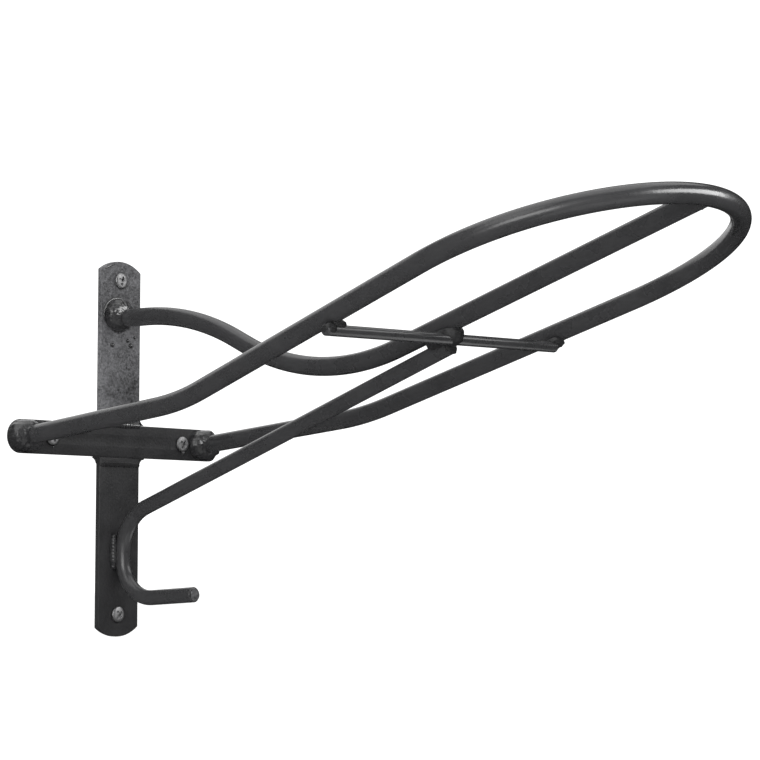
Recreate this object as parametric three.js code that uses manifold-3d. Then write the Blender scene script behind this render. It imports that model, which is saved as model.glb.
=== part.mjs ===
// Wall-mounted saddle rack with a bridle hook, welded from steel rod and flat bar.
// Millimetres, +Z up. The back faces lie in the wall plane Y = 0 and the rack reaches
// out towards -Y. The origin is on the upper plate's back face, behind the middle rod.

import * as THREE from 'three';
import { mergeVertices } from 'three/addons/utils/BufferGeometryUtils.js';
import Module from 'manifold-3d';

const wasm = await Module();
wasm.setup();

// ---------------------------------------------------------------- driving dimensions
const GAP = 0.3;            // clearance kept between pieces that touch
const SIDES = 12;           // facets round a rod

const ROD_D = 12.5;          // loop rod and middle rod
const STRUT_D = 10.4;        // strut and hook rod
const BRACE_D = 7;          // cross brace

const PLATE_WIDTH = 38;
const PLATE_X = 1;          // the plates are welded on a little to one side
const PLATE_THICKNESS = 4;
const PLATE_TOP = 40.5;
const PLATE_BOTTOM = -221;
const PLATE_CROWN = 6.5;    // rise of the rounded plate ends

const BAR_Z = -85.5;         // crossbar centre height
const BAR_HEIGHT = 22.8;
const BAR_HALF_LENGTH = 99;
const BAR_CORNER_LEFT = 11.2;
const BAR_CORNER_RIGHT = 7;

const MIDDLE_ELBOW_OUT = 73;     // the middle rod leaves the plate level, then dips
const MIDDLE_ELBOW_BEND = 190;
const MIDDLE_DIP_OUT = 186.8;
const MIDDLE_DIP_Z = -56.7;
const MIDDLE_DIP_BEND = 166;
const MIDDLE_RISE = 0.332;       // slope of the front run
const MIDDLE_END_OUT = 472;

const LEG_ROOT_X = 84.5;
const LEG_BEND_X = 90.4;
const LEG_BEND_OUT = 150.3;
const LEG_BEND_Z = -69.5;
const LEG_BEND_RADIUS = 190;
const LEG_SPLAY = 0.105;         // sideways spread of the front run
const LEG_RISE = 0.33;           // slope of the front run
const NOSE_OUT = 478;            // front of the loop's centre line
const NOSE_DROOP = 2.3;          // the nose is pressed a little below the legs' plane

const BRACE_OUT = 294.7;
const BRACE_SKEW = 0.0693;       // the brace is welded on slightly askew
const BRACE_LEFT_X = -113;
const BRACE_RIGHT_X = 101;

const STRUT_Z_AT_WALL = -143.2;
const STRUT_RISE = 0.3655;
const STRUT_END_OUT = 294;
const STRUT_BEND = 32;
const HOOK_BEND = 26;
const HOOK_Z_AT_WALL = -196;
const HOOK_RISE = 0.065;
const HOOK_END_OUT = 78.2;

const SCREW_TOP_Z = 26.7;
const SCREW_BOTTOM_Z = -205.8;
const SCREW_SIDE_X = 62.5;
const SCREW_HEAD_D = 11.2;
const SCREW_HEAD_HEIGHT = 2;
const SCREW_SHANK_D = 5;
const SCREW_HOLE_D = 6.5;
const RECESS_LENGTH = 5.4;
const RECESS_WIDTH = 1.3;
const RECESS_DEPTH = 1.2;

// Half sizes of the weld deposits: sideways, out from the wall, upwards.
const MIDDLE_ROOT_WELD = { x: 13.2, out: 9.5, z: 12.6 };
const LEG_ROOT_WELD = { x: 15, out: 11, z: 12 };
const LEG_ROOT_WELD_SHIFT = { left: -2, right: -0.5 };   // the deposits reach the bar's ends
const BRACE_END_WELD = { x: 7, out: 6.5, z: 4.2 };
const BRACE_MIDDLE_WELD = { x: 8.8, out: 14.5, z: 9.5 };
const NOSE_WELD = { x: 7.2, out: 4, z: 7.2 };
const NOSE_WELD_BACK = 5;        // the nose deposit sits this far behind the middle rod's end
const HOOK_WELD = { x: 4.4, out: 4, z: 13 };
const HOOK_WELD_SIDE = 4.8;
const HOOK_WELD_Z = -162.5;
const SEAM_WELD = { out: 1.4, z: 2.6 };
const SEAM_OVERHANG = 1.5;
const LOWER_SEAM_DROP = 5;       // the lower seam's bead lies just below the crossbar
const FILLET_SIZE = 4.5;
const BEAD_SIDES = 14;
const BEAD_RINGS = 8;
const SHARE_TO_CLEAR = GAP / 3;  // extra clearance for the brace under the faceted legs

// ---------------------------------------------------------------- materials
const blackCoat = () => new THREE.MeshStandardMaterial({ color: 0x2b2b2c, roughness: 0.42, metalness: 0 });
const zincPlate = () => new THREE.MeshStandardMaterial({ color: 0xc9c9c6, roughness: 0.35, metalness: 1 });

// ---------------------------------------------------------------- helpers
const rack = new THREE.Group();

/** A point given by its side offset, its distance out from the wall and its height. */
const at = (x, out, z) => new THREE.Vector3(x, -out, z);

function addPiece(name, geometry, material) {
  const mesh = new THREE.Mesh(geometry, material);
  mesh.name = name;
  rack.add(mesh);
  return mesh;
}

function toSolid(geometry) {
  const bare = geometry.clone();
  bare.deleteAttribute('normal');
  bare.deleteAttribute('uv');
  const merged = mergeVertices(bare);
  return new wasm.Manifold(new wasm.Mesh({
    numProp: 3,
    vertProperties: merged.attributes.position.array,
    triVerts: new Uint32Array(merged.index.array),
  }));
}

function toGeometry(solid) {
  const mesh = solid.getMesh();
  const geometry = new THREE.BufferGeometry();
  geometry.setAttribute('position', new THREE.BufferAttribute(mesh.vertProperties, 3));
  geometry.setIndex(new THREE.BufferAttribute(mesh.triVerts, 1));
  return geometry;
}

const cut = (geometry, cutters) => toGeometry(
  cutters.reduce((left, cutter) => left.subtract(cutter), toSolid(geometry)),
);

// ---------------------------------------------------------------- rod centre lines
/** A round bend from one point to another about a centre. */
class RoundBend extends THREE.Curve {
  constructor(centre, start, end) {
    super();
    this.centre = centre;
    this.toStart = start.clone().sub(centre);
    this.toEnd = end.clone().sub(centre);
    this.sweep = this.toStart.angleTo(this.toEnd);
  }

  getPoint(t, target = new THREE.Vector3()) {
    const share = 1 / Math.sin(this.sweep);
    return target.copy(this.centre)
      .addScaledVector(this.toStart, Math.sin((1 - t) * this.sweep) * share)
      .addScaledVector(this.toEnd, Math.sin(t * this.sweep) * share);
  }
}

/** Straight runs through the given corners, with a round bend at each inner corner. */
function addBentRuns(path, corners, radii) {
  let from = corners[0];
  radii.forEach((radius, i) => {
    const corner = corners[i + 1];
    const back = corners[i].clone().sub(corner).normalize();
    const ahead = corners[i + 2].clone().sub(corner).normalize();
    const halfAngle = back.angleTo(ahead) / 2;
    const setback = radius / Math.tan(halfAngle);
    const start = corner.clone().addScaledVector(back, setback);
    const end = corner.clone().addScaledVector(ahead, setback);
    const inward = back.clone().add(ahead).normalize();
    const centre = corner.clone().addScaledVector(inward, radius / Math.sin(halfAngle));
    path.add(new THREE.LineCurve3(from, start));
    path.add(new RoundBend(centre, start, end));
    from = end;
  });
  path.add(new THREE.LineCurve3(from, corners[corners.length - 1]));
  return path;
}

const legPlaneZ = (out) => LEG_BEND_Z + LEG_RISE * (out - LEG_BEND_OUT);
const splayAngle = Math.atan(LEG_SPLAY);
const splayCos = Math.cos(splayAngle);
const noseRadius = (LEG_BEND_X + LEG_SPLAY * (NOSE_OUT - LEG_BEND_OUT)) * splayCos
  / (1 + LEG_SPLAY * splayCos);
const noseCentreOut = NOSE_OUT - noseRadius;

/** The loop's nose, from the left leg round the front to the right leg. */
class NoseBend extends THREE.Curve {
  getPoint(t, target = new THREE.Vector3()) {
    const angle = Math.PI + splayAngle - t * (Math.PI + 2 * splayAngle);
    const out = noseCentreOut + noseRadius * Math.sin(angle);
    const droop = NOSE_DROOP * Math.max(0, Math.sin(angle)) ** 2;
    return target.copy(at(noseRadius * Math.cos(angle), out, legPlaneZ(out) - droop));
  }
}

function loopPath() {
  const rootOut = PLATE_THICKNESS / 2;
  const tangentOut = noseCentreOut - noseRadius * Math.sin(splayAngle);
  const legCorners = (side) => [
    at(side * LEG_ROOT_X, rootOut, BAR_Z),
    at(side * LEG_BEND_X, LEG_BEND_OUT, LEG_BEND_Z),
    at(side * noseRadius * splayCos, tangentOut, legPlaneZ(tangentOut)),
  ];
  const path = new THREE.CurvePath();
  addBentRuns(path, legCorners(-1), [LEG_BEND_RADIUS]);
  path.add(new NoseBend());
  addBentRuns(path, legCorners(1).reverse(), [LEG_BEND_RADIUS]);
  return path;
}

const middleRunZ = (out) => MIDDLE_DIP_Z + MIDDLE_RISE * (out - MIDDLE_DIP_OUT);

const middlePath = () => addBentRuns(new THREE.CurvePath(), [
  at(0, PLATE_THICKNESS + GAP, 0),
  at(0, MIDDLE_ELBOW_OUT, 0),
  at(0, MIDDLE_DIP_OUT, MIDDLE_DIP_Z),
  at(0, MIDDLE_END_OUT, middleRunZ(MIDDLE_END_OUT)),
], [MIDDLE_ELBOW_BEND, MIDDLE_DIP_BEND]);

/** The strut comes down to the plate, runs flat against it and turns out as the hook. */
function strutPath() {
  const wallOut = PLATE_THICKNESS + GAP + STRUT_D / 2;
  const strutZ = (out) => STRUT_Z_AT_WALL + STRUT_RISE * out;
  const hookZ = (out) => HOOK_Z_AT_WALL + HOOK_RISE * out;
  return addBentRuns(new THREE.CurvePath(), [
    at(0, STRUT_END_OUT, strutZ(STRUT_END_OUT)),
    at(0, wallOut, strutZ(wallOut)),
    at(0, wallOut, hookZ(wallOut)),
    at(0, HOOK_END_OUT, hookZ(HOOK_END_OUT)),
  ], [STRUT_BEND, HOOK_BEND]);
}

/** The brace lies under the two legs, square to their slope. */
function bracePath() {
  const reach = (ROD_D + BRACE_D) / 2 + GAP;
  const slope = Math.atan(LEG_RISE);
  const out = (x) => BRACE_OUT + BRACE_SKEW * x;
  const z = (x) => legPlaneZ(out(x) - reach * Math.sin(slope)) - reach * Math.cos(slope) - SHARE_TO_CLEAR;
  return new THREE.LineCurve3(
    at(BRACE_LEFT_X, out(BRACE_LEFT_X), z(BRACE_LEFT_X)),
    at(BRACE_RIGHT_X, out(BRACE_RIGHT_X), z(BRACE_RIGHT_X)),
  );
}

// ---------------------------------------------------------------- rods
function sweepRod(path, diameter, steps) {
  const rim = [];
  for (let i = 0; i < SIDES; i += 1) {
    const angle = (2 * Math.PI * i) / SIDES;
    rim.push(new THREE.Vector2(Math.cos(angle), Math.sin(angle)).multiplyScalar(diameter / 2));
  }
  return new THREE.ExtrudeGeometry(new THREE.Shape(rim), { steps, extrudePath: path, bevelEnabled: false });
}

const rods = {
  loop_rod: { path: loopPath(), diameter: ROD_D, steps: 72 },
  middle_rod: { path: middlePath(), diameter: ROD_D, steps: 40 },
  strut_hook_rod: { path: strutPath(), diameter: STRUT_D, steps: 72 },
  cross_brace: { path: bracePath(), diameter: BRACE_D, steps: 1 },
};

/** What another piece loses to make room for a rod. */
const rodRoom = ({ path, diameter, steps }) => toSolid(sweepRod(path, diameter + 2 * GAP, steps));

const room = Object.fromEntries(Object.entries(rods).map(([name, rod]) => [name, rodRoom(rod)]));
/** Everything behind the front face of the flat bars. */
const BLOCK = { width: 400, depth: 100, height: 600 };
const behindFace = toSolid(new THREE.BoxGeometry(BLOCK.width, BLOCK.depth, BLOCK.height)
  .translate(0, BLOCK.depth / 2 - PLATE_THICKNESS - GAP, 0));
const coped = {
  loop_rod: [behindFace],
  middle_rod: [room.loop_rod],
  strut_hook_rod: [room.cross_brace],
};

for (const [name, { path, diameter, steps }] of Object.entries(rods)) {
  const rod = sweepRod(path, diameter, steps);
  addPiece(name, coped[name] ? cut(rod, coped[name]) : rod, blackCoat());
}

// ---------------------------------------------------------------- flat bars
function screwHole(x, z) {
  const hole = new THREE.Path();
  hole.absarc(x, z, SCREW_HOLE_D / 2, 0, 2 * Math.PI, true);
  return hole;
}

function addFlatBar(name, outline, holes) {
  outline.holes = holes;
  const bar = new THREE.ExtrudeGeometry(outline, {
    depth: PLATE_THICKNESS, curveSegments: 10, bevelEnabled: false,
  });
  addPiece(name, bar, blackCoat()).rotation.x = Math.PI / 2;
}

/** A plate outline, square at the seam and crowned at the far end; end is +1 up, -1 down. */
function plateOutline(seamZ, tipZ, end) {
  const half = PLATE_WIDTH / 2;
  const crownRadius = (half ** 2 + PLATE_CROWN ** 2) / (2 * PLATE_CROWN);
  const halfSweep = Math.asin(half / crownRadius);
  const up = (end * Math.PI) / 2;
  const outline = new THREE.Shape();
  outline.moveTo(PLATE_X - end * half, seamZ);
  outline.lineTo(PLATE_X + end * half, seamZ);
  outline.absarc(PLATE_X, tipZ - end * crownRadius, crownRadius, up - halfSweep, up + halfSweep, false);
  return outline;
}

const barTop = BAR_Z + BAR_HEIGHT / 2;
const barBottom = BAR_Z - BAR_HEIGHT / 2;
addFlatBar('upper_plate', plateOutline(barTop + GAP, PLATE_TOP, 1), [screwHole(0, SCREW_TOP_Z)]);
addFlatBar('lower_plate', plateOutline(barBottom - GAP, PLATE_BOTTOM, -1), [screwHole(0, SCREW_BOTTOM_Z)]);

function crossbarOutline() {
  const outline = new THREE.Shape();
  const quarter = Math.PI / 2;
  const corners = [[1, -1, -quarter], [1, 1, 0], [-1, 1, quarter], [-1, -1, 2 * quarter]];
  for (const [side, up, from] of corners) {
    const radius = side > 0 ? BAR_CORNER_RIGHT : BAR_CORNER_LEFT;
    const x = side * (BAR_HALF_LENGTH - radius);
    const z = BAR_Z + up * (BAR_HEIGHT / 2 - radius);
    outline.absarc(x, z, radius, from, from + quarter, false);
  }
  return outline;
}

addFlatBar('crossbar', crossbarOutline(), [-1, 1].map((side) => screwHole(side * SCREW_SIDE_X, BAR_Z)));

// ---------------------------------------------------------------- fixing screws
function screwGeometry() {
  const headBase = PLATE_THICKNESS + GAP;
  const rimHeight = 0.6;
  const domeHeight = SCREW_HEAD_HEIGHT - rimHeight;
  const headRadius = SCREW_HEAD_D / 2;
  const profile = [
    new THREE.Vector2(0, GAP),
    new THREE.Vector2(SCREW_SHANK_D / 2, GAP),
    new THREE.Vector2(SCREW_SHANK_D / 2, headBase),
    new THREE.Vector2(headRadius, headBase),
  ];
  const domeSteps = 4;
  for (let i = 0; i < domeSteps; i += 1) {
    const angle = (Math.PI / 2) * (i / domeSteps);
    profile.push(new THREE.Vector2(
      headRadius * Math.cos(angle),
      headBase + rimHeight + domeHeight * Math.sin(angle),
    ));
  }
  profile.push(new THREE.Vector2(0, headBase + SCREW_HEAD_HEIGHT));
  const recess = [0, Math.PI / 2].map((turn) => {
    const slot = new THREE.BoxGeometry(RECESS_LENGTH, 2 * RECESS_DEPTH, RECESS_WIDTH);
    slot.rotateY(turn);
    slot.translate(0, headBase + SCREW_HEAD_HEIGHT, 0);
    return toSolid(slot);
  });
  return cut(new THREE.LatheGeometry(profile, 20), recess);
}

const screws = {
  screw_top: { x: 0, z: SCREW_TOP_Z, turn: 0.3 },
  screw_left: { x: -SCREW_SIDE_X, z: BAR_Z, turn: 1.1 },
  screw_right: { x: SCREW_SIDE_X, z: BAR_Z, turn: 0.6 },
  screw_bottom: { x: 0, z: SCREW_BOTTOM_Z, turn: 0.9 },
};

for (const [name, { x, z, turn }] of Object.entries(screws)) {
  const screw = addPiece(name, screwGeometry().rotateY(turn), zincPlate());
  screw.rotation.x = Math.PI;
  screw.position.set(x, 0, z);
}

// ---------------------------------------------------------------- weld beads
const everyRod = Object.values(room);

/** A rounded deposit of weld metal, trimmed back from the pieces that it joins. */
function addWeld(name, centre, half, cutters, turnX = 0) {
  const bead = new THREE.SphereGeometry(1, BEAD_SIDES, BEAD_RINGS);
  bead.scale(half.x, half.out, half.z);
  bead.rotateX(turnX);
  bead.translate(centre.x, centre.y, centre.z);
  addPiece(name, cut(bead, cutters), blackCoat());
}

const face = PLATE_THICKNESS;
addWeld('weld_middle_root', at(-2.5, face, 2), MIDDLE_ROOT_WELD, [behindFace, room.middle_rod]);
for (const [name, side] of [['left', -1], ['right', 1]]) {
  const x = side * LEG_ROOT_X + LEG_ROOT_WELD_SHIFT[name];
  addWeld(`weld_${name}_root`, at(x, face, BAR_Z), LEG_ROOT_WELD, [behindFace, room.loop_rod]);
}

const braceEnds = rods.cross_brace.path;
const braceSpan = BRACE_RIGHT_X - BRACE_LEFT_X;
const alongBrace = (x) => braceEnds.getPoint((x - BRACE_LEFT_X) / braceSpan);
const riseAngle = -Math.atan(LEG_RISE);
const legX = (out) => LEG_BEND_X + LEG_SPLAY * (out - LEG_BEND_OUT);
for (const [name, side] of [['left', -1], ['right', 1]]) {
  const x = side * (legX(BRACE_OUT + side * BRACE_SKEW * LEG_BEND_X) - 3);
  const centre = alongBrace(x).add(at(0, -1.5, 3.2));
  addWeld(`weld_brace_${name}`, centre, BRACE_END_WELD, everyRod, riseAngle);
}
const braceMiddle = alongBrace(0).add(at(0, -6, 1));
addWeld('weld_brace_middle', braceMiddle, BRACE_MIDDLE_WELD, everyRod, riseAngle);

const noseWeldOut = MIDDLE_END_OUT - NOSE_WELD_BACK;
addWeld('weld_nose', at(0, noseWeldOut, middleRunZ(noseWeldOut)), NOSE_WELD,
  [room.loop_rod, room.middle_rod], riseAngle);

for (const [name, side] of [['left', -1], ['right', 1]]) {
  const centre = at(side * HOOK_WELD_SIDE, face + 1.5, HOOK_WELD_Z);
  addWeld(`weld_hook_${name}`, centre, HOOK_WELD, [behindFace, room.strut_hook_rod]);
}

/** A bead along the seam between the crossbar and a plate. */
for (const [name, z] of [['upper', barTop], ['lower', barBottom - LOWER_SEAM_DROP]]) {
  const half = { x: PLATE_WIDTH / 2 + SEAM_OVERHANG, ...SEAM_WELD };
  addWeld(`weld_${name}_seam`, at(PLATE_X, face, z), half, [behindFace]);
}

/** Small fillets in the four inner corners of the cross. */
for (const [vertical, edgeZ, up] of [['upper', barTop, 1], ['lower', barBottom, -1]]) {
  for (const [lateral, side] of [['left', -1], ['right', 1]]) {
    const x = PLATE_X + side * (PLATE_WIDTH / 2 + GAP);
    const z = edgeZ + up * GAP;
    const fillet = new THREE.Shape();
    fillet.moveTo(x, z);
    fillet.lineTo(x + side * FILLET_SIZE, z);
    fillet.quadraticCurveTo(x + side, z + up, x, z + up * FILLET_SIZE);
    const geometry = new THREE.ExtrudeGeometry(fillet, {
      depth: PLATE_THICKNESS - 2 * GAP, curveSegments: 6, bevelEnabled: false,
    });
    geometry.translate(0, 0, GAP);
    addPiece(`weld_corner_${vertical}_${lateral}`, geometry, blackCoat()).rotation.x = Math.PI / 2;
  }
}

export default rack;
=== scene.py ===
"""Wall-mounted saddle rack with a bridle hook, laid out as an add-on and run as a script.

Metres, +Z up. The back faces lie in the wall plane Y = 0 and the rack reaches out towards -Y.
"""

import math

import bmesh
import bpy
from mathutils import Euler, Matrix, Vector, noise


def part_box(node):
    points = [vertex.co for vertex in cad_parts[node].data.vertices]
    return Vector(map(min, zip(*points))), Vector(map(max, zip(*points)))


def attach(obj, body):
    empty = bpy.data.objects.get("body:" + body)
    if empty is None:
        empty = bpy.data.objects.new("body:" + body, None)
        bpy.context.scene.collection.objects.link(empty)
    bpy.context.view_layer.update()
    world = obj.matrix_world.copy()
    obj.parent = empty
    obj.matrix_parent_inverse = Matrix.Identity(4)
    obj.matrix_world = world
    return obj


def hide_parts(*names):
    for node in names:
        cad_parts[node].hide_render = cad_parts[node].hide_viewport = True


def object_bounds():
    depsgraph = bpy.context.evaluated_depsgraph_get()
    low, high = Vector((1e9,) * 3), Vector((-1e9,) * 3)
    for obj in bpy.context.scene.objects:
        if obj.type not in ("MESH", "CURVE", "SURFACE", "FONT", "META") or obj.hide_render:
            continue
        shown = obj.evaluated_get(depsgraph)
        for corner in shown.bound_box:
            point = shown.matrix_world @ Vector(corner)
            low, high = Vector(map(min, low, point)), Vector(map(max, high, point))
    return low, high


bl_info = {
    "name": "Saddle rack",
    "version": (1, 0, 0),
    "blender": (4, 5, 0),
    "location": "3D View > Sidebar > Saddle rack",
    "description": "Builds a wall-mounted saddle rack of welded and painted steel rod",
    "category": "Add Mesh",
}

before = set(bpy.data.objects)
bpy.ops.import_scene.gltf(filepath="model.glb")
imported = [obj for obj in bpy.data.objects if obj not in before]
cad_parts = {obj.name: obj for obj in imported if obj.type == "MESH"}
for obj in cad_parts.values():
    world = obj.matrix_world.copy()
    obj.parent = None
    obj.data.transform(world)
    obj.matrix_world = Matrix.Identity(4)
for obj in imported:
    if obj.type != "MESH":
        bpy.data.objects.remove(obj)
CAD_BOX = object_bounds()

MM = 0.001
BODY = "root"


def mm(*values):
    """Millimetres as metres, one value or several."""
    scaled = tuple(value * MM for value in values)
    return scaled if len(scaled) > 1 else scaled[0]


def at(side, out, height):
    """A point in millimetres: its side offset, its distance out from the wall and its height."""
    return Vector(mm(side, -out, height))


def box_centre(node):
    low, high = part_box(node)
    return (low + high) / 2


def box_half(node):
    low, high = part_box(node)
    return (high - low) / 2


# ---------------------------------------------------------------- sizes a user would change
def length(name, description, value):
    """A length property whose default is given in millimetres."""
    return bpy.props.FloatProperty(
        name=name, description=description, default=value * MM, min=0.0, precision=4,
        unit="LENGTH", subtype="DISTANCE",
    )


def linear(code):
    """An sRGB hex colour as linear red, green, blue."""
    channels = [int(code[i:i + 2], 16) / 255 for i in (1, 3, 5)]
    return tuple(c / 12.92 if c <= 0.04045 else ((c + 0.055) / 1.055) ** 2.4 for c in channels)


def colour(name, description, code):
    """A colour property whose default is given as sRGB hex."""
    return bpy.props.FloatVectorProperty(
        name=name, description=description, default=linear(code), size=3, min=0.0, max=1.0,
        subtype="COLOR",
    )


class RackRodSizes(bpy.types.PropertyGroup):
    rod: length("Rod", "Diameter of the loop and of the middle rod", 12.5)
    strut: length("Strut", "Diameter of the strut and hook rod", 10.4)
    brace: length("Brace", "Diameter of the cross brace", 7)
    tip_round: length("Tip rounding", "Rounding of the paint at the rods' cut ends", 0.9)
    facets: bpy.props.IntProperty(
        name="Facets", description="Faces round a rod", default=40, min=12, max=96,
    )


class RackBarSizes(bpy.types.PropertyGroup):
    edge_round: length("Edge rounding", "Rounding of the painted edges of the flat bars", 0.7)
    crown: length("Crown", "Rise of the plates' rounded ends", 6.5)
    left_corner: length("Left corner", "Corner radius of the crossbar's left end", 11.2)
    right_corner: length("Right corner", "Corner radius of the crossbar's right end", 7)
    hole: length("Hole", "Diameter of the screw holes", 6.5)


class RackWeldSizes(bpy.types.PropertyGroup):
    pitch: length("Ripple pitch", "Distance between the ripples of a weld run", 2.1)
    lump: length("Lump height", "Height of the lumps in hand-laid weld metal", 0.9)
    grain: length("Lump size", "Width of the lumps in hand-laid weld metal", 4.2)
    spatter: length("Spatter", "Diameter of the larger spatter beads", 4.0)
    toe: length("Toe", "Width of the raised edges of the middle root's weld and the crown", 2.0)
    seed: bpy.props.IntProperty(name="Seed", description="Seed of the lumps and spatter", default=7)


class RackScrewSizes(bpy.types.PropertyGroup):
    head: length("Head", "Diameter of the screw heads", 11.2)
    head_height: length("Head height", "Height of the screw heads", 2.0)
    rim: length("Rim", "Height of the straight rim under the dome", 0.6)
    shank: length("Shank", "Diameter of the screw shanks", 5)
    recess_length: length("Recess length", "Length of the cross recess", 7.0)
    recess_width: length("Recess width", "Width of the cross recess", 1.9)
    recess_depth: length("Recess depth", "Depth of the cross recess", 1.7)


class RackColours(bpy.types.PropertyGroup):
    rod_paint: colour("Rod paint", "Black enamel on the rods", "#2d2d2e")
    # the upper plate's enamel is grainier, and its colour is set paler than the bar's to stand for
    # the softbox light the plate catches: partly painted light
    plate_paint_with_painted_light: colour("Plate paint", "Grainy black enamel on the upper plate", "#48484a")
    bar_paint: colour("Bar paint", "Black enamel on the crossbar and the lower plate", "#242425")
    weld_paint: colour("Weld paint", "Black enamel over the welds", "#222223")
    zinc: colour("Zinc", "Zinc plating of the screws", "#c8c8c9")
    floor: colour("Floor", "Studio floor", "#fbfbfb")


# ---------------------------------------------------------------- stage
CAMERA_PLACE = (-1.0199, -1.0543, -0.1584)
CAMERA_TURN = (94.549, 0, -51.30)          # degrees
CAMERA_LENS = 98.8                         # millimetres, on a sensor 36 mm wide
WORLD_BRIGHTNESS = 1.3
FLOOR_HALF = 30.0
FLOOR_BELOW = 0.9                          # metres under the rack's lowest point

# name: place from the rack's middle, width, height, brightness
SOFTBOXES = {
    "right_front": ((1.08, -1.93, 0.63), 2.28, 0.97, 7.5),
    "plate_wash": ((1.3, -1.6, 1.1), 1.7, 0.8, 2.5),
    "left_side": ((-1.75, -0.85, 0.3), 1.15, 0.75, 3.2),
    "left_above": ((-1.35, -0.15, 1.25), 1.0, 0.9, 1.3),
    "overhead_wide": ((0.2, 0.1, 2.0), 2.8, 2.8, 1.1),
    "camera_side": ((-2.4, -1.2, 0.5), 2.4, 2.4, 0.3),
    "low_front": ((-0.4, -1.9, -1.3), 2.4, 1.4, 0.4),
    "low_right": ((0.95, -0.45, -0.85), 0.9, 0.6, 0.9),
    "screw_key": ((1.4, -1.7, 0.1), 1.2, 0.9, 1.25),
    "behind": ((0.9, 2.2, 0.9), 3.0, 1.8, 0.9),
}
# Softboxes that are flagged off the rest of the rack, and the pieces that each one lights.
FLAGGED = {
    "right_front": (
        "painted_loop_rod", "painted_middle_rod", "painted_weld_middle_root",
        "painted_weld_left_root", "painted_weld_right_root", "painted_weld_upper_seam",
        "weld_toe", "weld_spatter", "crown_burr",
    ),
    "plate_wash": (
        "painted_upper_plate", "painted_lower_plate", "painted_crossbar",
        "painted_strut_hook_rod", "painted_cross_brace", "zinc_screws",
    ),
    "low_right": ("painted_cross_brace", "painted_strut_hook_rod"),
    "screw_key": ("zinc_screws",),
}

# ---------------------------------------------------------------- centre lines of the rods
BAR_Z = -85.5
LEG_ROOT_X = 84.5
LEG_BEND_X = 90.4
LEG_BEND_OUT = 150.3
LEG_BEND_Z = -69.5
LEG_BEND_RADIUS = 190
LEG_SPLAY = 0.105
LEG_RISE = 0.33
NOSE_OUT = 478
NOSE_DROOP = 2.3
ROOT_OUT = 3.2                   # the rods start just inside the flat bars' front face

MIDDLE_ELBOW_OUT = 73
MIDDLE_ELBOW_BEND = 190
MIDDLE_DIP_OUT = 186.8
MIDDLE_DIP_Z = -56.7
MIDDLE_DIP_BEND = 166
MIDDLE_RISE = 0.332
MIDDLE_END_OUT = 472

BRACE_OUT = 294.7
BRACE_SKEW = 0.0693
BRACE_LEFT_X = -113
BRACE_RIGHT_X = 101
BRACE_BELOW_LEGS = 10.05

STRUT_WALL_OUT = 9.5
STRUT_Z_AT_WALL = -143.2
STRUT_RISE = 0.3655
STRUT_END_OUT = 294
STRUT_BEND = 32
HOOK_BEND = 26
HOOK_Z_AT_WALL = -196
HOOK_RISE = 0.065
HOOK_END_OUT = 78.2

DOME_SHARE = 0.6                 # a cut end's dome, as a share of its rim's rounding
DOME_CLOSING = 0.97              # how far the dome's rings close in on its middle
PAN_SQUARENESS = 0.62            # below 1 a screw head's dome has a flatter top and a tighter edge
ARC_STEP = 3.0                   # length of one step along a bend
SPLAY_ANGLE = math.atan(LEG_SPLAY)
NOSE_RADIUS = (
    (LEG_BEND_X + LEG_SPLAY * (NOSE_OUT - LEG_BEND_OUT)) * math.cos(SPLAY_ANGLE)
    / (1 + LEG_SPLAY * math.cos(SPLAY_ANGLE))
)
NOSE_CENTRE_OUT = NOSE_OUT - NOSE_RADIUS


def bent_run(corners, radii):
    """Points along straight runs through the corners, with a round bend at each inner corner."""
    points = [corners[0]]
    for i, radius in enumerate(radii):
        corner = corners[i + 1]
        back = (corners[i] - corner).normalized()
        ahead = (corners[i + 2] - corner).normalized()
        half = back.angle(ahead) / 2
        setback = radius * MM / math.tan(half)
        centre = corner + (back + ahead).normalized() * (radius * MM / math.sin(half))
        to_start = corner + back * setback - centre
        to_end = corner + ahead * setback - centre
        sweep = to_start.angle(to_end)
        steps = max(4, round(radius * sweep / ARC_STEP))
        for k in range(steps + 1):
            t = k / steps
            points.append(
                centre
                + to_start * (math.sin((1 - t) * sweep) / math.sin(sweep))
                + to_end * (math.sin(t * sweep) / math.sin(sweep))
            )
    points.append(corners[-1])
    return points


def leg_plane_z(out):
    return LEG_BEND_Z + LEG_RISE * (out - LEG_BEND_OUT)


def middle_run_z(out):
    return MIDDLE_DIP_Z + MIDDLE_RISE * (out - MIDDLE_DIP_OUT)


def loop_points():
    tangent_out = NOSE_CENTRE_OUT - NOSE_RADIUS * math.sin(SPLAY_ANGLE)

    def leg(side):
        return bent_run([
            at(side * LEG_ROOT_X, ROOT_OUT, BAR_Z),
            at(side * LEG_BEND_X, LEG_BEND_OUT, LEG_BEND_Z),
            at(side * NOSE_RADIUS * math.cos(SPLAY_ANGLE), tangent_out, leg_plane_z(tangent_out)),
        ], [LEG_BEND_RADIUS])

    nose = []
    turn = math.pi + 2 * SPLAY_ANGLE
    steps = round(NOSE_RADIUS * turn / ARC_STEP)
    for k in range(1, steps):
        angle = math.pi + SPLAY_ANGLE - turn * k / steps
        out = NOSE_CENTRE_OUT + NOSE_RADIUS * math.sin(angle)
        droop = NOSE_DROOP * max(0.0, math.sin(angle)) ** 2
        nose.append(at(NOSE_RADIUS * math.cos(angle), out, leg_plane_z(out) - droop))
    return leg(-1) + nose + leg(1)[::-1]


def middle_points():
    return bent_run([
        at(0, ROOT_OUT, 0),
        at(0, MIDDLE_ELBOW_OUT, 0),
        at(0, MIDDLE_DIP_OUT, MIDDLE_DIP_Z),
        at(0, MIDDLE_END_OUT, middle_run_z(MIDDLE_END_OUT)),
    ], [MIDDLE_ELBOW_BEND, MIDDLE_DIP_BEND])


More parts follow.
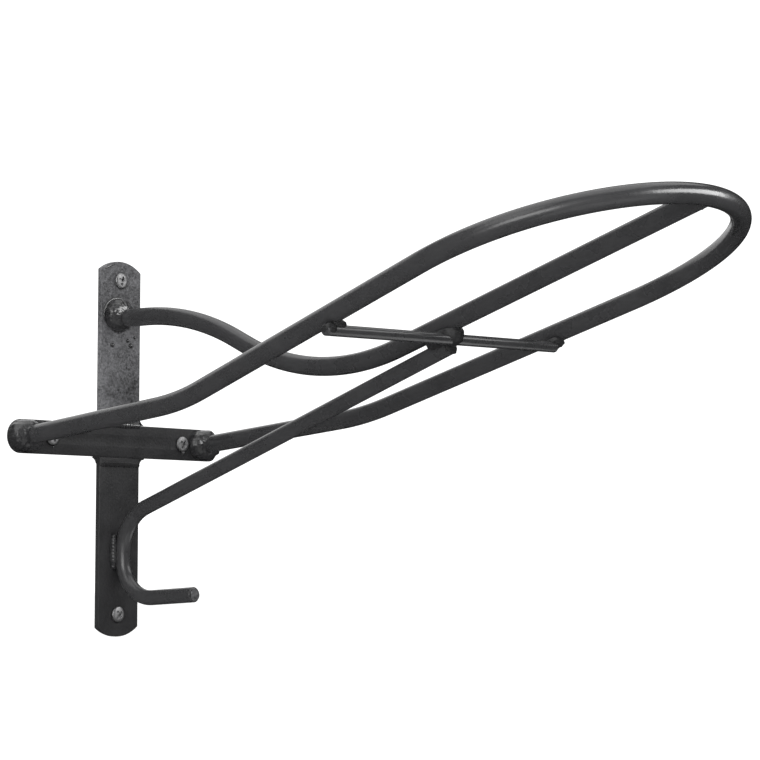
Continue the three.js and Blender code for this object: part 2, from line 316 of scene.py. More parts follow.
def strut_points():
    def strut_z(out):
        return STRUT_Z_AT_WALL + STRUT_RISE * out

    def hook_z(out):
        return HOOK_Z_AT_WALL + HOOK_RISE * out

    return bent_run([
        at(0, STRUT_END_OUT - 1.5, strut_z(STRUT_END_OUT - 1.5)),
        at(0, STRUT_WALL_OUT, strut_z(STRUT_WALL_OUT)),
        at(0, STRUT_WALL_OUT, hook_z(STRUT_WALL_OUT)),
        at(0, HOOK_END_OUT, hook_z(HOOK_END_OUT)),
    ], [STRUT_BEND, HOOK_BEND])


def brace_points():
    slope = math.atan(LEG_RISE)

    def point(x):
        out = BRACE_OUT + BRACE_SKEW * x
        z = leg_plane_z(out - BRACE_BELOW_LEGS * math.sin(slope))
        z -= BRACE_BELOW_LEGS * math.cos(slope)
        return at(x, out, z)

    return [point(BRACE_LEFT_X), point(BRACE_RIGHT_X)]


# ---------------------------------------------------------------- nodes
def add_node(tree, kind, inputs=None, **settings):
    """Adds one node; inputs maps a socket's name or index to a value or another node's output."""
    made = tree.nodes.new(kind)
    for key, value in settings.items():
        setattr(made, key, value)
    for key, value in (inputs or {}).items():
        socket = made.inputs[key]
        if isinstance(value, bpy.types.NodeSocket):
            tree.links.new(value, socket)
        else:
            socket.default_value = value
    return made


def new_material(name):
    material = bpy.data.materials.new(name)
    material.use_nodes = True
    tree = material.node_tree
    tree.nodes.clear()
    return material, tree


def painted_steel(name, paint, *, roughness, peel, peel_height, mottle, grit, coat):
    """Black enamel on steel: a dark dielectric skin with the low waves of orange peel.

    peel is the width of one wave in metres, peel_height how strongly it bends the light, mottle how
    much the paint's tone varies, grit the strength of the finer pimples over rough steel, and coat
    the share of the clear, glossier skin that smooth paint has.
    """
    material, tree = new_material(name)
    place = add_node(tree, "ShaderNodeTexCoord").outputs["Object"]
    clouds = add_node(tree, "ShaderNodeTexNoise", {
        "Vector": place, "Scale": 1 / (9 * peel), "Detail": 3.0, "Roughness": 0.6,
    }).outputs["Fac"]
    waves = add_node(tree, "ShaderNodeTexNoise", {
        "Vector": place, "Scale": 1 / peel, "Detail": 2.0, "Roughness": 0.5,
    }).outputs["Fac"]
    specks = add_node(tree, "ShaderNodeTexNoise", {
        "Vector": place, "Scale": 3 / peel, "Detail": 2.0, "Roughness": 0.6,
    }).outputs["Fac"]
    tone = add_node(tree, "ShaderNodeMath", {0: clouds, 1: specks}, operation="ADD").outputs[0]
    tone = add_node(tree, "ShaderNodeMapRange", {
        "Value": tone, "From Min": 0.7, "From Max": 1.3, "To Min": 0.0, "To Max": 1.0,
    }).outputs[0]
    dark = tuple(c * (1 - mottle) for c in paint) + (1.0,)
    light = tuple(c * (1 + mottle) for c in paint) + (1.0,)
    base = add_node(tree, "ShaderNodeMix", {
        0: tone, 6: dark, 7: light,
    }, data_type="RGBA").outputs[2]
    gloss = add_node(tree, "ShaderNodeMapRange", {
        "Value": clouds, "From Min": 0.3, "From Max": 0.7,
        "To Min": roughness - 0.05, "To Max": roughness + 0.07,
    }).outputs[0]
    skin = add_node(tree, "ShaderNodeBump", {
        "Strength": peel_height, "Distance": peel * 0.25, "Height": waves,
    }).outputs[0]
    skin = add_node(tree, "ShaderNodeBump", {
        "Strength": grit, "Distance": peel * 0.12, "Height": specks, "Normal": skin,
    }).outputs[0]
    shader = add_node(tree, "ShaderNodeBsdfPrincipled", {
        "Base Color": base, "Roughness": gloss, "IOR": 1.52, "Normal": skin,
        "Coat Weight": coat, "Coat Roughness": 0.12,
    })
    add_node(tree, "ShaderNodeOutputMaterial", {"Surface": shader.outputs[0]})
    return material


def zinc_plated_steel(name, zinc):
    """Bright zinc plating on a stamped screw: pale metal with fine marks and a few dull stains."""
    material, tree = new_material(name)
    place = add_node(tree, "ShaderNodeTexCoord").outputs["Object"]
    stains = add_node(tree, "ShaderNodeTexNoise", {
        "Vector": place, "Scale": 1 / (3 * MM), "Detail": 4.0, "Roughness": 0.65,
    }).outputs["Fac"]
    marks = add_node(tree, "ShaderNodeTexNoise", {
        "Vector": place, "Scale": 1 / (0.6 * MM), "Detail": 3.0,
    }).outputs["Fac"]
    dull = tuple(c * 0.55 for c in zinc) + (1.0,)
    bright = tuple(zinc) + (1.0,)
    base = add_node(tree, "ShaderNodeMix", {
        0: stains, 6: dull, 7: bright,
    }, data_type="RGBA").outputs[2]
    gloss = add_node(tree, "ShaderNodeMapRange", {
        "Value": stains, "From Min": 0.3, "From Max": 0.7, "To Min": 0.5, "To Max": 0.32,
    }).outputs[0]
    skin = add_node(tree, "ShaderNodeBump", {
        "Strength": 0.25, "Distance": 0.15 * MM, "Height": marks,
    }).outputs[0]
    shader = add_node(tree, "ShaderNodeBsdfPrincipled", {
        "Base Color": base, "Roughness": gloss, "Metallic": 1.0, "Normal": skin,
    })
    add_node(tree, "ShaderNodeOutputMaterial", {"Surface": shader.outputs[0]})
    return material


def matt_floor(name, tone):
    """Matt white studio board with a faint fibre."""
    material, tree = new_material(name)
    place = add_node(tree, "ShaderNodeTexCoord").outputs["Object"]
    fibre = add_node(tree, "ShaderNodeTexNoise", {"Vector": place, "Scale": 40.0, "Detail": 2.0})
    base = add_node(tree, "ShaderNodeMix", {
        0: fibre.outputs["Fac"],
        6: tuple(c * 0.99 for c in tone) + (1.0,),
        7: tuple(tone) + (1.0,),
    }, data_type="RGBA").outputs[2]
    shader = add_node(tree, "ShaderNodeBsdfPrincipled", {"Base Color": base, "Roughness": 0.9})
    add_node(tree, "ShaderNodeOutputMaterial", {"Surface": shader.outputs[0]})
    return material


# finish: material name, its maker, its colour property, and the skin that the maker gives it
FINISHES = {
    "rod": ("black_enamel_on_drawn_rod", painted_steel, "rod_paint", {
        "roughness": 0.27, "peel": mm(2.4), "peel_height": 0.2,
        "mottle": 0.16, "grit": 0.12, "coat": 0.35,
    }),
    # upper plate: grainy enamel whose paler colour is partly painted light; the hook's cut end uses
    # it as a painted highlight
    "plate": ("black_enamel_on_mill_scale", painted_steel, "plate_paint_with_painted_light", {
        "roughness": 0.5, "peel": mm(5.0), "peel_height": 0.2,
        "mottle": 0.8, "grit": 0.9, "coat": 0.0,
    }),
    "bar": ("black_enamel_on_rolled_flat_bar", painted_steel, "bar_paint", {
        "roughness": 0.42, "peel": mm(1.9), "peel_height": 0.5,
        "mottle": 0.25, "grit": 0.4, "coat": 0.0,
    }),
    "weld": ("black_enamel_on_weld_metal", painted_steel, "weld_paint", {
        "roughness": 0.3, "peel": mm(2.2), "peel_height": 0.9,
        "mottle": 0.5, "grit": 0.6, "coat": 0.8,
    }),
    "joint": ("thick_black_enamel_in_joints", painted_steel, "bar_paint", {
        "roughness": 0.42, "peel": mm(2.0), "peel_height": 0.7,
        "mottle": 0.4, "grit": 0.5, "coat": 0.0,
    }),
    "zinc": ("bright_zinc_plated_screw", zinc_plated_steel, "zinc", {}),
}


def finish(key):
    """The material of that finish, made the first time it is asked for."""
    name, maker, tint, skin = FINISHES[key]
    colours = bpy.context.scene.rack_colours
    return bpy.data.materials.get(name) or maker(name, getattr(colours, tint), **skin)


# ---------------------------------------------------------------- geometry trees
def new_tree(name, inputs):
    """An empty geometry tree with one geometry input and the named inputs."""
    tree = bpy.data.node_groups.new(name, "GeometryNodeTree")
    tree.interface.new_socket("Geometry", in_out="INPUT", socket_type="NodeSocketGeometry")
    for label, kind in inputs.items():
        tree.interface.new_socket(label, in_out="INPUT", socket_type=kind)
    tree.interface.new_socket("Geometry", in_out="OUTPUT", socket_type="NodeSocketGeometry")
    return tree, tree.nodes.new("NodeGroupInput").outputs


def close_tree(tree, geometry, material):
    """Ends a tree: real geometry, smooth faces, one material."""
    real = add_node(tree, "GeometryNodeRealizeInstances", {"Geometry": geometry})
    smooth = add_node(tree, "GeometryNodeSetShadeSmooth", {"Geometry": real.outputs[0]})
    painted = add_node(tree, "GeometryNodeSetMaterial", {
        "Geometry": smooth.outputs[0], "Material": material,
    })
    add_node(tree, "NodeGroupOutput", {0: painted.outputs[0]})
    return tree


def named_value(tree, name):
    return add_node(tree, "GeometryNodeInputNamedAttribute", {
        "Name": name,
    }, data_type="FLOAT").outputs[0]


def round_bar_tree():
    """Sweeps a round section along the object's edges, thinned by the points' own scale."""
    tree, given = new_tree("Round bar", {
        "Diameter": "NodeSocketFloat", "Facets": "NodeSocketInt", "Material": "NodeSocketMaterial",
    })
    radius = add_node(tree, "ShaderNodeMath", {0: given["Diameter"], 1: 0.5}, operation="MULTIPLY")
    section = add_node(tree, "GeometryNodeCurvePrimitiveCircle", {
        "Resolution": given["Facets"], "Radius": radius.outputs[0],
    })
    line = add_node(tree, "GeometryNodeMeshToCurve", {"Mesh": given["Geometry"]})
    bar = add_node(tree, "GeometryNodeCurveToMesh", {
        "Curve": line.outputs[0], "Profile Curve": section.outputs[0],
        "Scale": named_value(tree, "size"), "Fill Caps": True,
    })
    return close_tree(tree, bar.outputs[0], given["Material"])


def weld_run_tree():
    """Lays overlapping round ripples along the object's edges, each sized by its point."""
    tree, given = new_tree("Weld run", {
        "Pitch": "NodeSocketFloat", "Seed": "NodeSocketInt", "Material": "NodeSocketMaterial",
    })
    line = add_node(tree, "GeometryNodeMeshToCurve", {"Mesh": given["Geometry"]})
    spots = add_node(tree, "GeometryNodeCurveToPoints", {
        "Curve": line.outputs[0], "Length": given["Pitch"],
    }, mode="LENGTH")
    ripple = add_node(tree, "GeometryNodeMeshIcoSphere", {"Radius": 1.0, "Subdivisions": 3})
    spread = add_node(tree, "FunctionNodeRandomValue", {
        2: 0.82, 3: 1.0, "Seed": given["Seed"],
    }, data_type="FLOAT")
    size = add_node(tree, "ShaderNodeMath", {
        0: named_value(tree, "size"), 1: spread.outputs[1],
    }, operation="MULTIPLY")
    laid = add_node(tree, "GeometryNodeInstanceOnPoints", {
        "Points": spots.outputs[0], "Instance": ripple.outputs[0],
        "Rotation": spots.outputs["Rotation"], "Scale": size.outputs[0],
    })
    return close_tree(tree, laid.outputs[0], given["Material"])


def spatter_tree():
    """Scatters small beads of spatter over the object's faces."""
    tree, given = new_tree("Weld spatter", {
        "Density": "NodeSocketFloat", "Size": "NodeSocketFloat", "Seed": "NodeSocketInt",
        "Material": "NodeSocketMaterial",
    })
    spots = add_node(tree, "GeometryNodeDistributePointsOnFaces", {
        "Mesh": given["Geometry"], "Density": given["Density"], "Seed": given["Seed"],
    })
    bead = add_node(tree, "GeometryNodeMeshIcoSphere", {"Radius": 0.5, "Subdivisions": 2})
    spread = add_node(tree, "FunctionNodeRandomValue", {
        2: 0.3, 3: 1.0, "Seed": given["Seed"],
    }, data_type="FLOAT")
    size = add_node(tree, "ShaderNodeMath", {
        0: given["Size"], 1: spread.outputs[1],
    }, operation="MULTIPLY")
    laid = add_node(tree, "GeometryNodeInstanceOnPoints", {
        "Points": spots.outputs[0], "Instance": bead.outputs[0], "Scale": size.outputs[0],
    })
    return close_tree(tree, laid.outputs[0], given["Material"])


def screw_set_tree():
    """Sets one screw at each of the object's points, turned about its own axis."""
    tree, given = new_tree("Screw set", {
        "Screw": "NodeSocketObject", "Material": "NodeSocketMaterial",
    })
    screw = add_node(tree, "GeometryNodeObjectInfo", {"Object": given["Screw"]})
    turn = add_node(tree, "ShaderNodeCombineXYZ", {"Y": named_value(tree, "size")})
    facing = add_node(tree, "FunctionNodeEulerToRotation", {0: turn.outputs[0]})
    laid = add_node(tree, "GeometryNodeInstanceOnPoints", {
        "Points": given["Geometry"], "Instance": screw.outputs["Geometry"],
        "Rotation": facing.outputs[0],
    })
    return close_tree(tree, laid.outputs[0], given["Material"])


def tree_named(name, make):
    return bpy.data.node_groups.get(name) or make()


# ---------------------------------------------------------------- making pieces
def link(name, mesh):
    made = bpy.data.objects.new(name, mesh)
    bpy.context.scene.collection.objects.link(made)
    return made


def lines_mesh(name, runs, faces=()):
    """A mesh of edges through each run of (point, size) pairs; size is kept on the points."""
    points, edges, sizes = [], [], []
    for run in runs:
        first = len(points)
        points += [point for point, _ in run]
        sizes += [size for _, size in run]
        edges += [(first + i, first + i + 1) for i in range(len(run) - 1)]
    mesh = bpy.data.meshes.new(name)
    mesh.from_pydata(points, [] if faces else edges, list(faces))
    mesh.attributes.new("size", "FLOAT", "POINT").data.foreach_set("value", sizes)
    return mesh


def settle(mesh, sharp_degrees=38):
    """Turns a closed mesh's faces outwards and shades it smooth between its real edges."""
    work = bmesh.new()
    work.from_mesh(mesh)
    bmesh.ops.remove_doubles(work, verts=work.verts, dist=1e-7)
    bmesh.ops.recalc_face_normals(work, faces=work.faces)
    work.to_mesh(mesh)
    work.free()
    mesh.shade_smooth()
    mesh.set_sharp_from_angle(angle=math.radians(sharp_degrees))
    mesh.update()


def hand_over(piece, nodes, material=None):
    """Gives a finished piece to the frame and to the softboxes that are flagged on to it."""
    if material is not None:
        piece.data.materials.clear()
        piece.data.materials.append(material)
    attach(piece, BODY)
    if nodes:
        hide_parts(*nodes)
    for lamp, pieces in FLAGGED.items():
        if piece.name in pieces:
            bpy.data.objects[lamp].light_linking.receiver_collection.objects.link(piece)


def run_tree(name, mesh, tree, values):
    """Evaluates a geometry tree on a mesh and returns the plain result."""
    source = link(name + "_source", mesh)
    modifier = source.modifiers.new("Shape", "NODES")
    modifier.node_group = tree
    for item in tree.interface.items_tree:
        if item.in_out == "INPUT" and item.name in values:
            modifier[item.identifier] = values[item.name]
    bpy.context.view_layer.update()
    evaluated = source.evaluated_get(bpy.context.evaluated_depsgraph_get())
    result = bpy.data.meshes.new_from_object(evaluated)
    source.modifiers.clear()
    bpy.data.objects.remove(source)
    result.name = name
    settle(result)
    return link(name, result)


class RACK_OT_stage(bpy.types.Operator):
    """Camera, soft studio lights and a plain pale floor"""

    bl_idname = "rack.stage"
    bl_label = "Stage"

    def execute(self, context):
        scene = context.scene
        camera = bpy.data.objects.new("camera", bpy.data.cameras.new("camera"))
        scene.collection.objects.link(camera)
        camera.location = CAMERA_PLACE
        camera.rotation_euler = Euler([math.radians(turn) for turn in CAMERA_TURN])
        camera.data.sensor_width = 36
        camera.data.lens = CAMERA_LENS
        camera.data.clip_end = 100
        scene.camera = camera
        scene.view_settings.view_transform = "Standard"

        world = bpy.data.worlds.new("white_studio")
        world.use_nodes = True
        sky = world.node_tree.nodes["Background"]
        sky.inputs["Color"].default_value = (1, 1, 1, 1)
        sky.inputs["Strength"].default_value = WORLD_BRIGHTNESS
        world.cycles_visibility.glossy = False
        scene.world = world

        low, high = CAD_BOX
        middle = (low + high) / 2
        for name, (place, width, height, brightness) in SOFTBOXES.items():
            lamp = bpy.data.lights.new(name, "AREA")
            lamp.shape = "RECTANGLE"
            lamp.size = width
            lamp.size_y = height
            lamp.energy = brightness * math.pi * width * height
            holder = bpy.data.objects.new(name, lamp)
            scene.collection.objects.link(holder)
            holder.location = middle + Vector(place)
            holder.rotation_euler = (-Vector(place)).to_track_quat("-Z", "Y").to_euler()
            holder.visible_camera = False
            if name in FLAGGED:
                lit = bpy.data.collections.new(name + "_lit")
                holder.light_linking.receiver_collection = lit

        half = FLOOR_HALF
        corners = [(-half, -half), (half, -half), (half, half), (-half, half)]
        floor_mesh = bpy.data.meshes.new("floor")
        floor_mesh.from_pydata(
            [(x, y, low.z - FLOOR_BELOW) for x, y in corners], [], [(0, 1, 2, 3)])
        floor = link("floor", floor_mesh)
        floor_mesh.materials.append(matt_floor("matt_white_board", scene.rack_colours.floor))
        floor.visible_glossy = False
        return {"FINISHED"}


class RACK_OT_rods(bpy.types.Operator):
    """The loop, the middle rod, the strut with its hook and the cross brace"""

    bl_idname = "rack.rods"
    bl_label = "Rods"

    def execute(self, context):
        sizes = context.scene.rack_rods
        # node: centre line, diameter, number of ends that are open to view
        rods = {
            "loop_rod": (loop_points(), sizes.rod, 0),
            "middle_rod": (middle_points(), sizes.rod, 0),
            "strut_hook_rod": (strut_points(), sizes.strut, 1),
            "cross_brace": (brace_points(), sizes.brace, 2),
        }
        for node, (points, diameter, open_ends) in rods.items():
            run = [(point, 1.0) for point in points]
            if open_ends > 0:
                run[-1:] = self.rounded_tip(points[-2], points[-1], diameter, sizes.tip_round)
            if open_ends > 1:
                start = self.rounded_tip(points[1], points[0], diameter, sizes.tip_round)
                run[:1] = start[::-1]
            piece = run_tree("painted_" + node, lines_mesh(node, [run]),
                             tree_named("Round bar", round_bar_tree), {
                                 "Diameter": diameter, "Facets": sizes.facets,
                                 "Material": finish("rod"),
                             })
            hand_over(piece, [node])
        return {"FINISHED"}

    @staticmethod
    def rounded_tip(before, tip, diameter, rounding):
        """Points that round the painted rim of a cut end and dome its face a little."""
        ahead = (tip - before).normalized()
        dome = rounding * DOME_SHARE
        rim = tip - ahead * dome
        steps = 5
        run = []
        for i in range(steps + 1):
            angle = math.pi / 2 * i / steps
            back = rounding * (1 - math.sin(angle))
            run.append((rim - ahead * back, 1 - 2 * rounding / diameter * (1 - math.cos(angle))))
        face = run[-1][1]
        for i in range(1, steps + 1):
            inward = i / steps
            run.append((
                rim + ahead * dome * (1 - (1 - inward) ** 2),
                face * (1 - DOME_CLOSING * inward),
            ))
        return run


def crown_radius(half, crown):
    """Radius of an arc that rises by the crown over a width of twice the half."""
    return (half ** 2 + crown ** 2) / (2 * crown)


class RACK_OT_flat_bars(bpy.types.Operator):
    """The upper and lower plates and the crossbar, with their screw holes"""

    bl_idname = "rack.flat_bars"
    bl_label = "Flat bars"

    def execute(self, context):
        sizes = context.scene.rack_bars
        self.make("upper_plate", self.plate("upper_plate", 1, sizes), ["screw_top"], sizes)
        self.make("lower_plate", self.plate("lower_plate", -1, sizes), ["screw_bottom"], sizes)
        self.make("crossbar", self.crossbar(sizes), ["screw_left", "screw_right"], sizes)
        return {"FINISHED"}

    @staticmethod
    def plate(node, end, sizes):
        """Outline of a plate, square at the seam and crowned at its far end."""
        low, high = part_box(node)
        half = (high.x - low.x) / 2
        middle = (low.x + high.x) / 2
        seam, tip = (low.z, high.z) if end > 0 else (high.z, low.z)
        radius = crown_radius(half, sizes.crown)
        sweep = math.asin(half / radius)
        steps = 28
        arc = []
        for i in range(steps + 1):
            angle = end * math.pi / 2 - sweep + 2 * sweep * i / steps
            arc.append((
                middle + radius * math.cos(angle),
                tip - end * radius + radius * math.sin(angle),
            ))
        return [(middle - end * half, seam), (middle + end * half, seam)] + arc

    @staticmethod
    def crossbar(sizes):
        low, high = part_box("crossbar")
        corners = [
            (high.x, low.z, -1, 1), (high.x, high.z, -1, -1),
            (low.x, high.z, 1, -1), (low.x, low.z, 1, 1),
        ]
        outline = []
        steps = 12
        for quarter, (x, z, inward_x, inward_z) in enumerate(corners):
            radius = sizes.right_corner if inward_x < 0 else sizes.left_corner
            for i in range(steps + 1):
                angle = math.pi / 2 * (quarter - 1 + i / steps)
                outline.append((
                    x + inward_x * radius + radius * math.cos(angle),
                    z + inward_z * radius + radius * math.sin(angle),
                ))
        return outline

    @staticmethod
    def make(node, outline, screws, sizes):
        """A filled outline with rounded edges, as thick as the CAD bar."""
        low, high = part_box(node)
        curve = bpy.data.curves.new(node, "CURVE")
        curve.dimensions = "2D"
        curve.fill_mode = "BOTH"
        curve.bevel_depth = sizes.edge_round
        curve.bevel_resolution = 3
        curve.offset = -sizes.edge_round
        curve.extrude = (high.y - low.y) / 2 - sizes.edge_round
        rings = [outline]
        steps = 40
        for screw in screws:
            centre = box_centre(screw)
            rings.append([
                (centre.x + sizes.hole / 2 * math.cos(-2 * math.pi * i / steps),
                 centre.z + sizes.hole / 2 * math.sin(-2 * math.pi * i / steps))
                for i in range(steps)
            ])
        for ring in rings:
            spline = curve.splines.new("POLY")
            spline.points.add(len(ring) - 1)
            for point, (x, z) in zip(spline.points, ring):
                point.co = (x, z, 0, 1)
            spline.use_cyclic_u = True
        source = link(node + "_outline", curve)
        bpy.context.view_layer.update()
        evaluated = source.evaluated_get(bpy.context.evaluated_depsgraph_get())
        mesh = bpy.data.meshes.new_from_object(evaluated)
        bpy.data.objects.remove(source)
        mesh.transform(Matrix.Rotation(math.pi / 2, 4, "X"))
        mesh.transform(Matrix.Translation((0, (low.y + high.y) / 2, 0)))
        settle(mesh, 50)
        # the upper plate's paler enamel is partly painted light, standing for the light that the
        # plate catches
        paint = finish("plate" if node == "upper_plate" else "bar")
        hand_over(link("painted_" + node, mesh), [node], paint)


class RACK_OT_root_welds(bpy.types.Operator):
    """The heavy ring welds where the three rods meet the flat bars"""

    bl_idname = "rack.root_welds"
    bl_label = "Root welds"

    def execute(self, context):
        for node in ("weld_middle_root", "weld_left_root", "weld_right_root"):
            low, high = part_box(node)
            centre = Vector(((low.x + high.x) / 2, high.y, (low.z + high.z) / 2))
            reach = Vector(((high.x - low.x) / 2, high.y - low.y, (high.z - low.z) / 2))
            piece = weld_lump(node, centre, reach, base=high.y, fullness=0.72, ripples=15)
            hand_over(piece, [node], finish("weld"))
        return {"FINISHED"}


# half sizes of the lumps at the rods' ends, and the brace's lump's place along and above its rod
BRACE_END_SIZE = Vector(mm(5.4, 4.4, 4.1))
BRACE_END_ALONG = 0.02
BRACE_END_LIFT = Vector(mm(0, 0, 0.8))
STRUT_END_SIZE = Vector(mm(5.9, 2.4, 5.8))
HOOK_END_SIZE = Vector(mm(4.6, 0.9, 4.6))

LUMP_RINGS, LUMP_SPOKES = 48, 96
LUMP_SHARE = 0.6                 # share of the lump height used each way
RIPPLE_SHARE = 0.35              # height of the ripples against the lumps
RIPPLE_SLANT = 5                 # how far the ripples lean as they come out from the wall
SUNK_IN_FACE = mm(0.8)           # how far a lump reaches below the face that it sits on


class RACK_OT_joint_welds(bpy.types.Operator):
    """The weld metal on the brace, the middle rod, the nose and the cut ends of strut and hook"""

    bl_idname = "rack.joint_welds"
    bl_label = "Joint welds"

    def execute(self, context):
        slope = -math.atan(LEG_RISE)
        for node in ("weld_brace_left", "weld_brace_right", "weld_brace_middle", "weld_nose"):
            centre = box_centre(node)
            piece = weld_lump(node, centre, box_half(node), fullness=0.9, ripples=9, turn=slope)
            hand_over(piece, [node], finish("joint"))
        # weld metal run over the ends of the brace and of the strut
        caps = {
            "brace_end": (
                brace_points()[0].lerp(brace_points()[1], BRACE_END_ALONG) + BRACE_END_LIFT,
                BRACE_END_SIZE,
            ),
            "strut_end": (strut_points()[0], STRUT_END_SIZE),
        }
        for name, (centre, reach) in caps.items():
            piece = weld_lump(name, centre, reach, fullness=0.8, ripples=7, turn=slope)
            hand_over(piece, [], finish("joint"))
        # the hook's cut end is a thin cap in the paler plate enamel: a painted highlight that
        # stands for the light on its face
        tip = weld_lump("hook_end", strut_points()[-1], HOOK_END_SIZE, ripples=3)
        hand_over(tip, [], finish("plate"))
        return {"FINISHED"}


def weld_lump(node, centre, reach, base=None, fullness=1.0, ripples=12, turn=0.0):
    """A rounded deposit of weld metal with ripples round its axis, which points out from the wall.

    base is the depth of the face that it sits on. fullness under 1 squares its section.
    """
    sizes = bpy.context.scene.rack_welds
    rings, spokes = LUMP_RINGS, LUMP_SPOKES
    shift = Vector((sizes.seed * 3.1, len(node) * 1.7, centre.x * 40))
    margin = sizes.lump * LUMP_SHARE
    points = []
    for i in range(rings + 1):
        lat = math.pi * i / rings
        for j in range(spokes if 0 < i < rings else 1):
            lon = 2 * math.pi * j / spokes
            spread = math.sin(lat) ** fullness
            unit = Vector((
                spread * math.cos(lon),
                -math.copysign(abs(math.cos(lat)) ** fullness, math.cos(lat)),
                spread * math.sin(lon),
            ))
            local = unit * (reach - Vector((margin, margin, margin)))
            outward = unit.normalized()
            phase = ripples * lon + RIPPLE_SLANT * math.cos(lat)
            ripple = RIPPLE_SHARE * math.cos(phase) * math.sin(lat) ** 2
            lumps = noise.fractal(local / sizes.grain + shift, 0.9, 2.2, 3)
            local += outward * sizes.lump * (ripple + lumps) * LUMP_SHARE
            if turn:
                local = Matrix.Rotation(turn, 3, "X") @ local
            point = centre + local
            if base is not None:
                point.y = min(point.y, base + SUNK_IN_FACE)
            points.append(point)
    faces = []

    def index(i, j):
        if i == 0:
            return 0
        if i == rings:
            return 1 + (rings - 1) * spokes
        return 1 + (i - 1) * spokes + j % spokes

    for i in range(rings):
        for j in range(spokes):
            corners = [index(i, j), index(i, j + 1), index(i + 1, j + 1), index(i + 1, j)]
            faces.append(tuple(dict.fromkeys(corners)))
    mesh = bpy.data.meshes.new(node)
    mesh.from_pydata(points, [], faces)
    settle(mesh, 75)
    return link("painted_" + node, mesh)


SEAM_PITCH_SHARE = 0.4           # the seams' ripples lie this much closer together
UPPER_SEAM_SWELL = 1.15          # the upper seam's bead stands a little fuller than the lower one
FLUSH_SEAM_RADIUS = mm(1.6)
FLUSH_SEAM_END_RADIUS = mm(1.1)
FLUSH_SEAM_OVERHANG = mm(4.5)
EDGE_FACETS = 16                 # faces round the toe and the burr
TOE_START, TOE_SWEEP = 205, 165  # degrees about the root, from the left over the top
TOE_END_SIZE = 0.35              # share of the toe's width that is left at its ends
BURR_START, BURR_SWEEP = 123, 20
BURR_INSET = mm(1.6)
BURR_SUNK = mm(0.3)
BURR_END_SIZE, BURR_MIDDLE_SIZE = 0.3, 0.9


def tapered(t, end, middle):
    """A size that swells from its end value to its middle value and back as t goes from 0 to 1."""
    return end + (middle - end) * math.sin(math.pi * t) ** 0.5 if 0 < t < 1 else end


